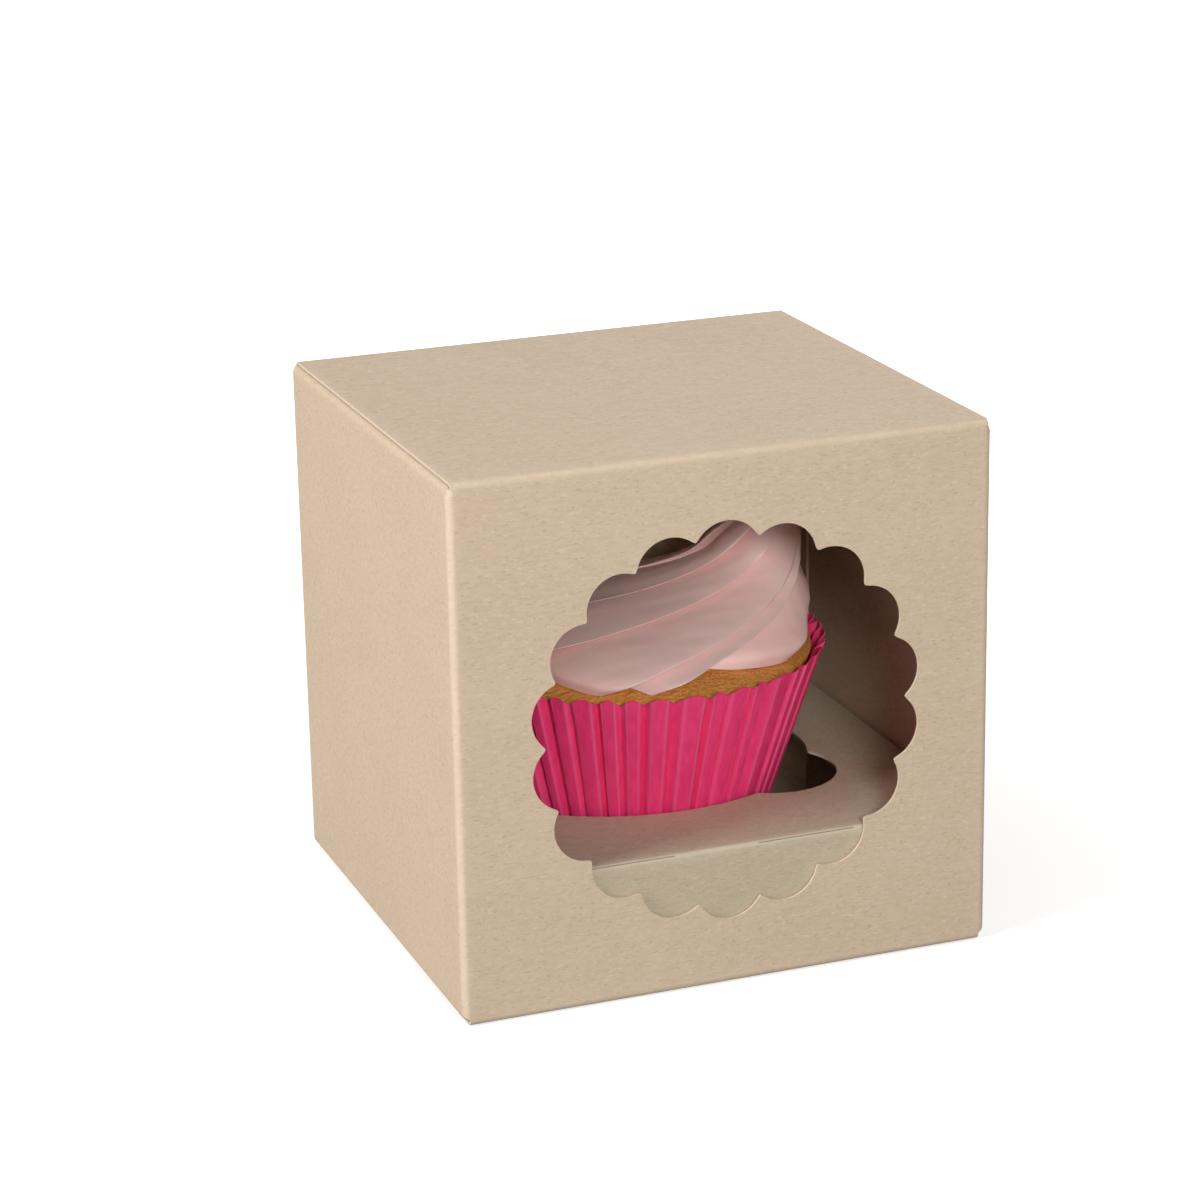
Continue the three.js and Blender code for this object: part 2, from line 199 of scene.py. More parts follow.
board = {
    "colour": (0.600, 0.462, 0.330, 1),
    "dark": (0.500, 0.375, 0.255, 1),
    "light": (0.700, 0.560, 0.420, 1),
    # Fold colour: partly the paler cracked fibres of a fold, partly a painted highlight
    "fold": (0.690, 0.560, 0.425, 1),
    "cutEdge": (0.710, 0.580, 0.440, 1),
    # Painted shade: the insert's copy of the board is multiplied darker by this tint, as shade inside the box
    "insertShadeTint": (0.84, 0.90, 0.89, 1),
    "roughness": 0.86,
    # Features per metre along each axis, and how much of its colour each one brings in
    "blotches": (55, 55, 75), "blotchShare": 0.24,
    "fibres": (420, 700, 1500), "fibreShare": 0.50,
    "flecks": (1000, 1300, 2400), "fleckShare": 0.70,
    "paleFlecks": (950, 1200, 2300), "paleShare": 0.70,
    "foldShare": 0.40,
}


# Kraft board: soft blotches, fine fibres that run level, dark and pale flecks, paler folds (partly cracked
# fibres, partly a painted highlight) and cut edges, all multiplied by a tint: white outside, darker for the
# insert as painted shade
def boardFinish(name, shadeTint):
    finish, tree, shader = newFinish(name, {"Roughness": board["roughness"], "Specular IOR Level": 0.25})
    blotch = rampOn(tree, noiseOn(tree, board["blotches"], 3.0), 0.3, 0.7)
    fibre = rampOn(tree, noiseOn(tree, board["fibres"], 3.0, 0.65), 0.25, 0.75)
    fleck = rampOn(tree, noiseOn(tree, board["flecks"], 2.0), 0.58, 0.70)
    pale = rampOn(tree, noiseOn(tree, board["paleFlecks"], 2.0, 0.5, (0.6, 0.3, 0.9)), 0.58, 0.70)
    fold = attributeValue(tree, "foldMark")
    colour = mixColours(tree, scaled(tree, blotch, board["blotchShare"]), board["colour"], board["dark"])
    colour = mixColours(tree, scaled(tree, fibre, board["fibreShare"]), colour, board["light"])
    colour = mixColours(tree, scaled(tree, fleck, board["fleckShare"]), colour, board["dark"])
    colour = mixColours(tree, scaled(tree, pale, board["paleShare"]), colour, board["light"])
    # Paler folds: partly the board's cracked fibres, partly a painted highlight of the rounded crease
    colour = mixColours(tree, scaled(tree, fold, board["foldShare"]), colour, board["fold"])
    colour = mixColours(tree, attributeValue(tree, "cutEdge"), colour, board["cutEdge"])
    # Painted shade: the tint darkens the whole colour of the copy used for the insert
    colour = mixColours(tree, 1.0, colour, shadeTint, "MULTIPLY")
    dress(tree, shader, colour, fibre, 0.35, 0.00006)
    return finish


paper = {
    "colour": (0.880, 0.045, 0.185, 1),
    "deep": (0.690, 0.018, 0.130, 1),
    "edge": (0.860, 0.170, 0.340, 1),
    "roughness": 0.55,
}


# Greaseproof paper: faint streaks up the pleats, and worn pale lines where the pleats turn
def paperFinish():
    settings = {"Roughness": paper["roughness"], "Specular IOR Level": 0.4}
    finish, tree, shader = newFinish("casePaper", settings)
    streak = rampOn(tree, noiseOn(tree, (900, 900, 90), 3.0), 0.3, 0.7)
    colour = mixColours(tree, scaled(tree, streak, 0.45), paper["colour"], paper["deep"])
    colour = mixColours(tree, attributeValue(tree, "foldMark"), colour, paper["edge"])
    dress(tree, shader, colour, streak, 0.3, 0.0001)
    return finish


cake = {
    "colour": (0.720, 0.310, 0.062, 1),
    "baked": (0.560, 0.190, 0.028, 1),
    "crumb": (0.800, 0.450, 0.140, 1),
}


# Cake: golden crumb with darker baked spots and small pores
def cakeFinish():
    finish, tree, shader = newFinish(
        "bakedCake",
        {"Roughness": 0.7, "Specular IOR Level": 0.3, "Subsurface Weight": 0.15, "Subsurface Scale": 0.002},
    )
    spots = rampOn(tree, noiseOn(tree, (260, 260, 260), 4.0), 0.35, 0.7)
    pores = rampOn(tree, noiseOn(tree, (1300, 1300, 1300), 3.0), 0.35, 0.65)
    colour = mixColours(tree, scaled(tree, spots, 0.5), cake["colour"], cake["baked"])
    colour = mixColours(tree, scaled(tree, pores, 0.35), colour, cake["crumb"])
    dress(tree, shader, colour, pores, 0.6, 0.0003)
    return finish


cream = {
    "colour": (0.900, 0.615, 0.575, 1),
    "warm": (0.870, 0.530, 0.475, 1),
}


# Buttercream: satin, slightly translucent, warmer in slow patches, with faint drag lines
def creamFinish():
    finish, tree, shader = newFinish(
        "buttercream",
        {"Roughness": 0.42, "Specular IOR Level": 0.4, "Subsurface Weight": 0.25, "Subsurface Scale": 0.003},
    )
    shader.inputs["Subsurface Radius"].default_value = (1.0, 0.45, 0.35)
    patch = rampOn(tree, noiseOn(tree, (70, 70, 70), 2.0), 0.3, 0.7)
    drag = noiseOn(tree, (500, 500, 1400), 3.0)
    colour = mixColours(tree, scaled(tree, patch, 0.4), cream["colour"], cream["warm"])
    dress(tree, shader, colour, drag, 0.25, 0.0001)
    return finish


kraftBoard = boardFinish("kraftBoard", (1, 1, 1, 1))
# The insert's board is a copy of the kraft board darkened by painted shade
shadedInsertBoard = boardFinish("shadedInsertBoard", board["insertShadeTint"])
casePaper, bakedCake, buttercream = paperFinish(), cakeFinish(), creamFinish()
print("finishes made")

carton = {
    "halfWidth": 47.5, "halfDepth": 44.0, "height": 93.0, "thickness": 0.5, "bottomThickness": 0.44,
    "foldRadius": 1.2, "foldSteps": 7, "foldPaleWidth": 1.7,
    "sideFoldStart": 91.0, "frontTop": 91.8, "backTop": 92.5, "shoulderTop": 91.95, "cornerLow": 1.0,
    "rawEnd": 43.7, "plateHalf": 46.0, "border": 90,
    "bottomLevels": {"side": 0.9, "back": 0.45, "front": 0.0},
    "bottomLengths": {"side": 36.0, "back": 60.0, "front": 87.3},
    "glueFlap": 13.0, "glueTaper": 3.0, "glueGap": 0.02, "glueFoot": 0.3,
    "dustLength": 38.0, "dustTaper": 5.0, "dustFront": -42.7, "dustBack": 40.5,
    "dustRound": 4.0, "dustNeck": 6.2,
}
window = {
    "lobes": 18, "lobeSteps": 20, "centreRadius": 28.68, "lobeRadius": 6.12, "halfSweep": 64.4,
    "height": 46.5, "turned": -50, "firstPoint": 15,
    "rings": (0, 0.02, 0.06, 0.14, 0.27, 0.42, 0.57, 0.71, 0.82, 0.9, 0.95, 0.98, 1),
}


# Paler where the board is folded, partly the cracked fibres of the fold and partly a painted highlight of the
# rounded crease: the second smallest distance to the box's planes is the distance to a fold
def foldPaleAndHighlight(points):
    gaps = np.stack([
        np.abs(carton["halfWidth"] - np.abs(points[:, 0])),
        np.abs(carton["halfDepth"] - np.abs(points[:, 1])),
        np.minimum(np.abs(points[:, 2]), np.abs(carton["height"] - points[:, 2])),
    ], 1)
    return np.exp(-((np.sort(gaps, 1)[:, 1] / carton["foldPaleWidth"]) ** 2))


# Stations round the walls, seen from above: x, y on the outer face, the inward direction, the wall's
# lowest and highest place, and the length of the bottom flap. A tag per interval says what hangs on it.
# Where two runs meet, the one with a flap sets the station.
def wallStations():
    w, d, r = carton["halfWidth"], carton["halfDepth"], carton["foldRadius"]
    low = {wall: level + r for wall, level in carton["bottomLevels"].items()}
    length = carton["bottomLengths"]
    side, front, back = carton["sideFoldStart"], carton["frontTop"], carton["backTop"]
    rows, tags = [], []

    def add(x, y, nx, ny, lowest, highest, flap, tag):
        block = np.stack(np.broadcast_arrays(x, y, nx, ny, lowest, highest, flap), 1).astype(float)
        if rows and tag != "plain":
            rows[-1][-1] = block[0]
        rows.append(block[1:] if rows else block)
        tags.extend([tag] * (len(block) - 1))

    def corner(x, y, start, lows, highs, flaps):
        share = np.linspace(0, 1, carton["foldSteps"])
        angle = np.radians(start - 90 * share)
        across, along = np.cos(angle), np.sin(angle)
        lowest, highest = (ends[0] + (ends[1] - ends[0]) * share for ends in (lows, highs))
        add(x + r * across, y + r * along, -across, -along, lowest, highest, flaps, "plain")

    sideRun = np.concatenate([[d - r, 40.0], np.linspace(37, -37, 26), [-39.5, carton["dustFront"]]])
    wall = (low["side"], side, length["side"])
    add(w, np.array([carton["rawEnd"], d - r]), -1, 0, *wall, "plain")
    add(w, sideRun, -1, 0, *wall, "side")
    add(w, np.array([carton["dustFront"], r - d]), -1, 0, *wall, "plain")
    shoulder, foot = carton["shoulderTop"], carton["cornerLow"]
    corner(w - r, r - d, 0, (low["side"], low["front"]), (shoulder, front), length["side"])
    p = carton["plateHalf"]
    add(np.array([w - r, p]), -d, 0, 1, low["front"], front, length["front"], "front")
    add(np.linspace(p, -p, carton["border"] + 1), -d, 0, 1, low["front"], front, length["front"], "window")
    add(np.array([-p, r - w]), -d, 0, 1, low["front"], front, length["front"], "front")
    corner(r - w, r - d, -90, (low["front"], low["side"]), (front, shoulder), length["side"])
    add(-w, np.array([r - d, carton["dustFront"]]), 1, 0, *wall, "plain")
    add(-w, sideRun[::-1], 1, 0, *wall, "side")
    corner(r - w, d - r, 180, (foot, foot), (shoulder, back), length["side"])
    seam = w - r - carton["thickness"]
    backRun = np.concatenate([[r - w, -44.5], np.linspace(-41, 41, 26), [44.0, seam]])
    add(backRun, d, 0, -1, low["back"], back, length["back"], "back")
    flapTop = side - r
    corner(seam, d - r, 90, (foot, foot), (back, flapTop), length["side"])
    glueRun = np.linspace(0, carton["glueFlap"], 8)
    glueTop = flapTop - carton["glueTaper"] * glueRun / carton["glueFlap"]
    glueLow = low["side"] + carton["glueFoot"]
    add(seam + r - carton["glueGap"], d - r - glueRun, -1, 0, glueLow, glueTop, length["side"], "plain")
    return np.concatenate(rows), np.array(tags)


# The folded sheet: every station carries one profile from the tip of its bottom flap, round the bottom
# fold, up the wall, round the top fold and out along the dust flap. A fold is an arc of 90 degrees about
# a centre that lies one fold radius inside the wall.
def foldedWalls():
    stations, tags = wallStations()
    x, y, nx, ny, low, high, flap = stations.T
    r, t, thin = carton["foldRadius"], carton["thickness"], carton["bottomThickness"]
    bend = np.radians(np.linspace(0, 90, carton["foldSteps"]))
    across, up = np.cos(bend), np.sin(bend)
    profile = []  # outer inset, outer height, inner inset, inner height, each per station
    for share in (1, 0.85, 0.65, 0.45, 0.3, 0.15, 0.05):
        inset = r + share * (flap - r)
        profile.append((inset, low - r, inset, low - r + thin))
    for step in range(len(bend) - 1, 0, -1):
        inner = r - t + (t - thin) * bend[step] / bend[-1]
        outside = (r - r * across[step], low - r * up[step])
        profile.append((*outside, r - inner * across[step], low - inner * up[step]))
    bottomRows = len(profile)
    for share in np.linspace(0, 1, carton["border"] + 1):
        level = low + share * (high - low)
        over = np.clip(level - carton["sideFoldStart"], 0, 0.95 * r)
        below = np.clip(carton["bottomLevels"]["side"] + r - level, 0, 0.95 * r)
        curve = (2 * r - np.sqrt(r**2 - over**2) - np.sqrt(r**2 - below**2)) * np.abs(nx)
        profile.append((curve, level, curve + t, level))
    inner = r - t
    for step in range(1, len(bend)):
        outside = (r - r * across[step], high + r * up[step])
        profile.append((*outside, r - inner * across[step], high + inner * up[step]))
    neck, reach = carton["dustNeck"], carton["dustLength"]
    dustRows = [1.5, 2.2, neck, 12, 18, 24, 30, 34, 35.5, 36.7, 37.4, 37.8, reach]
    for inset in dustRows:
        profile.append((inset, high + r, inset, high + r - t))
    profile = np.array([[np.broadcast_to(v, x.shape) for v in row] for row in profile]).transpose(2, 0, 1)

    # The dust flap's ends: full at the fold, stepped in at the back for the tuck, tapered, tip corners round
    inset = np.array(dustRows)
    taper = carton["dustTaper"] * np.clip((inset - neck) / (reach - neck), 0, 1)
    into = np.clip(inset - (reach - carton["dustRound"]), 0, carton["dustRound"])
    rounding = carton["dustRound"] - np.sqrt(carton["dustRound"] ** 2 - into**2)
    frontEnd = carton["dustFront"] + taper + rounding
    backEnd = np.where(inset < 2, carton["halfDepth"] - r, carton["dustBack"]) - taper - rounding
    share = (y - carton["dustFront"]) / (carton["halfDepth"] - r - carton["dustFront"])
    flapY = frontEnd + share[:, None] * (backEnd - frontEnd)
    placeY = np.repeat(y[:, None], profile.shape[1], 1)
    sideOnly = np.abs(nx) > 0.99
    placeY[np.ix_(sideOnly, range(profile.shape[1] - len(dustRows), profile.shape[1]))] = flapY[sideOnly]

    def surface(inward, height):
        return np.stack([x[:, None] + nx[:, None] * inward, placeY + ny[:, None] * inward, height], 2)

    cells = (len(tags), profile.shape[1] - 1)
    keep = np.zeros(cells, bool)
    wallCells = slice(bottomRows, bottomRows + carton["border"])
    keep[:, wallCells] = True
    keep[np.isin(tags, ["side", "front", "window", "back"]), :bottomRows] = True
    keep[tags == "side", wallCells.stop :] = True
    filled = np.zeros(cells, bool)
    filled[tags == "window", wallCells] = True
    keep &= ~filled
    outer, inner = surface(profile[:, :, 0], profile[:, :, 1]), surface(profile[:, :, 2], profile[:, :, 3])
    return sheetOnGrid(outer, inner, keep, filled)


# Scalloped outline: arcs of equal lobes about points on a circle, with each cusp drawn a little round.
# Its first point lies beside the lower right corner of the panel's border.
def scallopOutline():
    sweep = np.radians(window["halfSweep"]) * (np.arange(window["lobeSteps"]) / (window["lobeSteps"] / 2) - 1)
    direction = np.radians(window["turned"] + 360 / window["lobes"] * np.arange(window["lobes"]))[:, None]
    reach = window["centreRadius"] + window["lobeRadius"] * np.cos(sweep)
    across = window["lobeRadius"] * np.sin(sweep)
    x = reach * np.cos(direction) - across * np.sin(direction)
    z = reach * np.sin(direction) + across * np.cos(direction)
    outline = np.stack([x.ravel(), z.ravel()], 1)
    cusps = np.arange(0, len(outline), window["lobeSteps"])
    outline[cusps] = 0.5 * outline[cusps] + 0.25 * (outline[cusps - 1] + outline[cusps + 1])
    return np.roll(outline, -window["firstPoint"], 0) + [0, window["height"]]


# Points round a rectangle, from its lower right corner up the right side and on against the clock
def rectangleRound(right, left, bottom, top):
    return np.concatenate([
        np.stack([np.full(len(right), right[0, 0]), right[:, 1]], 1)[:-1], top[:-1], left[:-1], bottom[:-1],
    ])


# Window panel: rings that change from the scalloped outline to the panel's border
def windowPlate():
    n, p = carton["border"] + 1, carton["plateHalf"]
    low, high = carton["foldRadius"], carton["frontTop"]
    up, across = np.linspace(low, high, n), np.linspace(p, -p, n)
    right = np.stack([np.full(n, p), up], 1)
    left = np.stack([np.full(n, -p), up[::-1]], 1)
    top, bottom = np.stack([across, np.full(n, high)], 1), np.stack([across[::-1], np.full(n, low)], 1)
    border = rectangleRound(right, left, bottom, top)
    outline = scallopOutline()
    ring = np.array(window["rings"])[None, :, None]
    flat = outline[:, None] + ring * (border - outline)[:, None]
    outer = np.stack([flat[..., 0], np.full(flat.shape[:2], -carton["halfDepth"]), flat[..., 1]], 2)
    inner = outer + [0, carton["thickness"], 0]
    shared = np.ones(len(border), bool)
    shared[carton["border"] : 2 * carton["border"]] = False
    return sheetOnGrid(outer, inner, closed=True, beyond={"high": shared})


makePiece(
    "cartonBoard", [foldedWalls(), windowPlate()], kraftBoard, "carton", ["carton"],
    marks=foldPaleAndHighlight,
)

lid = {
    "half": 46.8, "tuckHalf": 45.4, "backFold": 41.9, "lean": 5.34, "tuck": 16.0, "tuckRound": 8.0,
    "columns": 48, "stepIn": 0.58,  # share of the back fold after which the tuck's narrower width starts
}


# Folded strip in the plane across x: front fold, top, back fold and tuck flap, given as the outer face's
# place and its outward direction, with the half width at each row
def lidProfile(part):
    r, top, front = carton["foldRadius"], carton["height"], -carton["halfDepth"]
    if part == "crease":
        bend = np.radians(np.linspace(0, 90, 9))
        across, up = np.cos(bend), np.sin(bend)
        return front + r - r * across, top - r + r * up, -across, up, np.full(len(bend), lid["half"])
    flat = np.array([front + r, -42, -41, -39.5, -37, *np.linspace(-33, 36, 12), 39, 40.8, lid["backFold"]])
    steps = np.array([0.12, 0.24, 0.36, 0.48, 0.57, 0.6, 0.7, 0.82, 0.92, 1.0])
    bend = np.radians(steps * (90 + lid["lean"]))
    run = np.array([2, 4, 6, 8, 9, 10, 11, 12, 13, 13.8, 14.5, 15.1, 15.5, 15.8, 15.95, 16.0])
    out, up = np.sin(bend), np.cos(bend)
    bendY, bendZ = lid["backFold"] + r * out, top - r + r * up
    y = np.concatenate([flat, bendY, bendY[-1] + run * up[-1]])
    z = np.concatenate([np.full(len(flat), top), bendZ, bendZ[-1] - run * out[-1]])
    ny = np.concatenate([np.zeros(len(flat)), out, np.full(len(run), out[-1])])
    nz = np.concatenate([np.ones(len(flat)), up, np.full(len(run), up[-1])])
    into = np.clip(run - (lid["tuck"] - lid["tuckRound"]), 0, lid["tuckRound"])
    rounding = lid["tuckRound"] - np.sqrt(lid["tuckRound"] ** 2 - into**2)
    foldHalf = np.where(steps < lid["stepIn"], lid["half"], lid["tuckHalf"])
    half = np.concatenate([np.full(len(flat), lid["half"]), foldHalf, lid["tuckHalf"] - rounding])
    return y, z, ny, nz, half


# The strip carried across the box: x runs from minus to plus the row's half width
def lidSheet(part):
    y, z, ny, nz, half = lidProfile(part)
    across = np.sin(np.linspace(-np.pi / 2, np.pi / 2, lid["columns"]))[:, None]
    x = across * half
    y, z, ny, nz = (np.broadcast_to(v, x.shape) for v in (y, z, ny, nz))
    t = carton["thickness"]
    return sheetOnGrid(np.stack([x, y, z], 2), np.stack([x, y - t * ny, z - t * nz], 2))


makePiece("lidBoard", [lidSheet("lid")], kraftBoard, "lid", ["lid"], marks=foldPaleAndHighlight)
lidCrease = makePiece("lidCrease", [lidSheet("crease")], kraftBoard, None, marks=foldPaleAndHighlight)
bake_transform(lidCrease)

insert = {
    "halfWidth": 46.2, "halfDepth": 42.4, "top": 24.3, "thickness": 0.5, "foldRadius": 0.8, "foot": 1.7,
    "holeHalfWidth": 32.3, "holeHalfDepth": 27.3, "setback": 2.3,
    "fingerReach": 25.7, "fingerDirection": -0.62, "fingerRadius": 11.6,
    "slits": ((-26.9, -9.5), (5.7, 23.1)), "slitRow": 3,
    "bend": (0, 15, 30, 40, 53, 65, 78, 90), "foldPale": 2.0, "foldPaleWidth": 0.6,
    "rings": (0, 0.03, 0.1, 0.22, 0.38, 0.55, 0.7, 0.82, 0.92, 1),
    "legRows": (22.5, 21, 18, 14, 10, 6, 3.5),
}


# Level positions across the deck, moved so that the slits end on a position
def deckColumns():
    columns = np.linspace(-insert["halfWidth"], insert["halfWidth"], carton["border"] + 1)
    for end in np.ravel(insert["slits"]):
        columns[np.argmin(np.abs(columns - end))] = end
    return columns


# Hole outline: for each direction the larger of the oval's radius and the reach of the two finger
# notches. A ray meets a notch circle at reach * cos + sqrt(radius^2 - (reach * sin)^2).
def holeOutline():
    angle = np.radians(-45 + np.arange(360))
    reach = 1 / np.hypot(np.cos(angle) / insert["holeHalfWidth"], np.sin(angle) / insert["holeHalfDepth"])
    for turned in (0, np.pi):
        off = angle - insert["fingerDirection"] - turned
        inside = insert["fingerRadius"] ** 2 - (insert["fingerReach"] * np.sin(off)) ** 2
        notch = insert["fingerReach"] * np.cos(off) + np.sqrt(np.maximum(inside, 0))
        reach = np.maximum(reach, np.where((inside > 0) & (np.cos(off) > 0), notch, 0))
    return np.stack([reach * np.cos(angle), insert["setback"] + reach * np.sin(angle)], 1)


# Deck: rings that change from the hole's outline to the border. The legs share its front and back edge.
def insertDeck():
    columns, n = deckColumns(), carton["border"] + 1
    h, d = insert["halfWidth"], insert["halfDepth"]
    up = np.linspace(-d, d, n)
    right, left = np.stack([np.full(n, h), up], 1), np.stack([np.full(n, -h), up[::-1]], 1)
    top, bottom = np.stack([columns[::-1], np.full(n, d)], 1), np.stack([columns, np.full(n, -d)], 1)
    border, outline = rectangleRound(right, left, bottom, top), holeOutline()
    ring = np.array(insert["rings"])[None, :, None]
    flat = outline[:, None] + ring * (border - outline)[:, None]
    upper = np.stack([flat[..., 0], flat[..., 1], np.full(flat.shape[:2], insert["top"])], 2)
    shared = np.zeros(len(border), bool)
    shared[n - 1 : 2 * (n - 1)] = shared[3 * (n - 1) :] = True
    return sheetOnGrid(upper, upper - [0, 0, insert["thickness"]], closed=True, beyond={"high": shared})


# Paler along the middle of each fold: partly the cracked fibres of the fold, partly a painted highlight of
# the crease
def insertFoldPaleAndHighlight(points):
    out = np.abs(points[:, 1]) - insert["halfDepth"] - insert["foldRadius"] * np.sin(np.pi / 4)
    up = points[:, 2] - insert["top"] + insert["foldRadius"] * (1 - np.cos(np.pi / 4))
    return insert["foldPale"] * np.exp(-((np.hypot(out, up) / insert["foldPaleWidth"]) ** 2))


# A leg: the deck's border carried round a fold and down to the foot. The front fold is slit along its
# middle.
def insertLeg(side):
    columns = deckColumns()
    r, t, top = insert["foldRadius"], insert["thickness"], insert["top"]
    bend = np.radians(insert["bend"])
    level = np.array([*insert["legRows"], insert["foot"]])
    reach = np.concatenate([r * np.sin(bend), np.full(len(level), r)])
    height = np.concatenate([top - r + r * np.cos(bend), level])
    innerReach = np.concatenate([(r - t) * np.sin(bend), np.full(len(level), r - t)])
    innerHeight = np.concatenate([top - r + (r - t) * np.cos(bend), level])

    def surface(out, z):
        y = side * (insert["halfDepth"] + out)
        return np.stack(np.broadcast_arrays(columns[:, None], y[None], z[None]), 2)

    keep = np.ones((len(columns) - 1, len(reach) - 1), bool)
    if side < 0:
        middle = (columns[1:] + columns[:-1]) / 2
        for start, end in insert["slits"]:
            keep[(middle > start) & (middle < end), insert["slitRow"]] = False
    return sheetOnGrid(surface(reach, height), surface(innerReach, innerHeight), keep, beyond={"low": True})


makePiece(
    "insertBoard", [insertDeck(), insertLeg(-1), insertLeg(1)], shadedInsertBoard, "carton",
    ["insert"], marks=insertFoldPaleAndHighlight,
)

case = {
    "baseRadius": 23.9, "rimRadius": 34.8, "base": 15.06, "height": 32.5, "thickness": 0.2,
    "pleats": 45, "steps": 16, "depth": (0.75, 1.45), "foldShare": 0.17, "scallop": 1.5, "crest": 0.22,
    "sharpness": 0.8, "drift": 0.35,
    "unevenWidth": 0.3, "unevenDepth": (0.6, 1.2), "unevenShare": (0.8, 1.7), "unevenDrift": 0.05,
    "paleOffset": 1.05, "paleWidth": 0.035, "paleShare": 0.6, "paleAbove": 0.5,
}
centre = np.array([0, insert["setback"], 0])


# Where each fold stands, counted in pleats round the cup
def foldPlaces():
    chance = np.random.default_rng(7)
    shift = chance.uniform(-case["unevenWidth"], case["unevenWidth"], case["pleats"])
    return np.arange(case["pleats"] + 1) + np.append(shift, shift[0])


# Half width of each fold, as a share of a pleat
def foldShares():
    return case["foldShare"] * np.random.default_rng(9).uniform(*case["unevenShare"], case["pleats"])


# Pleated cup: turn gives the place in a pleat, way climbs from the middle of the base to the rim. Crests
# are flat and slightly round, folds are narrow and sharp, and the rim dips at every fold.
def paperCup():
    turn = np.arange(case["pleats"] * case["steps"]) / (case["pleats"] * case["steps"])
    pleat = np.floor(turn * case["pleats"]).astype(int)
    place = turn * case["pleats"] - pleat
    chance = np.random.default_rng(5)
    depthOf = chance.uniform(*case["unevenDepth"], case["pleats"])
    shiftOf = chance.uniform(-case["unevenDrift"], case["unevenDrift"], case["pleats"])
    wayFlat, wayWall = np.array([0, 0.4, 0.8, 0.97]), np.linspace(0, 1, 30)
    toFold = np.minimum(place, 1 - place)
    nearest = (pleat + (place >= 0.5)) % case["pleats"]
    fold = np.clip(1 - toFold / foldShares()[nearest], 0, 1) ** case["sharpness"]
    depth = depthOf[nearest]
    drift = case["drift"] * shiftOf[pleat][:, None] * np.sin(np.pi * wayWall)[None]
    counted = np.interp(turn * case["pleats"], np.arange(case["pleats"] + 1), foldPlaces())
    around = fullTurn / case["pleats"] * counted
    angle = around[:, None] + drift * np.sin(np.pi * place)[:, None] / case["pleats"]
    crest = case["crest"] * np.sin(np.pi * place)
    radius = case["baseRadius"] + (case["rimRadius"] - case["baseRadius"]) * wayWall
    sink = case["depth"][0] + (case["depth"][1] - case["depth"][0]) * wayWall
    wallRadius = radius[None] - case["crest"] - sink[None] * (depth * fold)[:, None] + crest[:, None]
    dip = case["scallop"] * (1 - np.sin(np.pi * place) ** case["sharpness"])
    level = case["base"] + case["height"] * wayWall[None]
    wallHeight = level - dip[:, None] * easeBetween(0.8, 1, wayWall)[None]
    flatRadius = wallRadius[:, :1] * wayFlat[None]
    radii = np.concatenate([flatRadius, wallRadius], 1)
    heights = np.concatenate([np.full(flatRadius.shape, case["base"]), wallHeight], 1)
    angles = np.concatenate([np.repeat(angle[:, :1], len(wayFlat), 1), angle], 1)
    t = case["thickness"]
    innerRadii = np.maximum(radii - t * np.r_[np.zeros(len(wayFlat)), np.ones(len(wayWall))], 0)
    lift = t * np.r_[np.ones(len(wayFlat) + 1), np.zeros(len(wayWall) - 1)]

    def surface(r, z):
        return centre + np.stack([r * np.cos(angles), r * np.sin(angles), z], 2)

    return sheetOnGrid(surface(radii, heights), surface(innerRadii, heights + lift), closed=True)


# Pale lines on the outside, where a crest turns into a fold
def pleatMarks(points):
    flat = points - centre
    folds = foldPlaces()
    around = np.arctan2(flat[:, 1], flat[:, 0]) / fullTurn * case["pleats"]
    count = np.interp((around - folds[0]) % case["pleats"] + folds[0], folds, np.arange(len(folds)))
    share = foldShares()[np.round(count).astype(int) % case["pleats"]]
    gap = np.abs(count - np.round(count)) - share * case["paleOffset"]
    line = np.exp(-((gap / case["paleWidth"]) ** 2))
    return case["paleShare"] * line * (flat[:, 2] > case["base"] + case["paleAbove"])


makePiece(
    "paperCase", [paperCup()], casePaper, "carton", ["paper_case"],
    sharpDegrees=40, marks=pleatMarks,
)

crumb = {
    "edge": 45.96, "edgeRadius": 32.26, "rise": 5.0, "domeRadius": 106.6, "foot": 15.66, "footRadius": 22.1,
    "rough": 0.22, "smoothFoot": 4, "smoothTop": 0.5,
}


# Height of the cake's dome at a distance from its middle: a sphere's cap
def domeHeight(radius):
    flat = np.minimum(radius, crumb["edgeRadius"])
    return crumb["edge"] + np.sqrt(crumb["domeRadius"] ** 2 - flat**2) - crumb["domeRadius"] + crumb["rise"]


# Sum of waves in several directions, as a gentle unevenness
def unevenness(x, y, z, seed, count=12, wave=4.0):
    chance = np.random.default_rng(seed)
    total = np.zeros(np.broadcast(x, y, z).shape)
    for _ in range(count):
        a = chance.normal(size=3) * fullTurn / (wave * chance.uniform(0.6, 1.8))
        total += np.sin(a[0] * x + a[1] * y + a[2] * z + chance.uniform(0, fullTurn))
    return total / count


